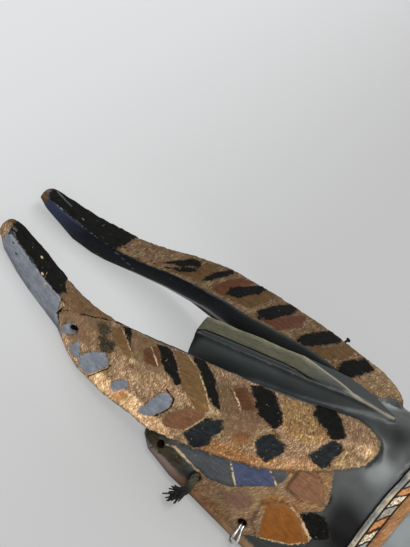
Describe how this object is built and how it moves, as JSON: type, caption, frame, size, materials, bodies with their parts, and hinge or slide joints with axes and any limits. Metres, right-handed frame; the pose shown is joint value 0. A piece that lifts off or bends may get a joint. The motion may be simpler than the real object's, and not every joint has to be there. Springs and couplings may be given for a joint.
{
  "type": "zamble mask",
  "caption": "Carved wooden antelope mask with long curved horns, a flat-topped crest, a long toothed muzzle and a hollow back.",
  "frame": {"origin": "on the flat underside of the lower jaw, in the mask's mirror plane; the mask lies on its back on z = 0", "axes": "+Y from the jaw to the horn tips, +Z out through the face, +X to the mask's right-hand side seen from the front with the horns up"},
  "size_m": [0.1377, 0.458, 0.105],
  "materials": {
    "carved_wood": "dark polished wood with chiselled tan, amber, blue and black patches",
    "plant_fibre": "twisted olive-brown plant fibre, frayed black at its end",
    "bright_wire": "bright drawn wire",
    "dark_iron": "dark oxidised iron"
  },
  "bodies": {
    "root": {"mask": "carved_wood", "cord_tie": "plant_fibre", "wire_loop": "bright_wire", "horn_nail": "dark_iron"}
  },
  "joints": []
}
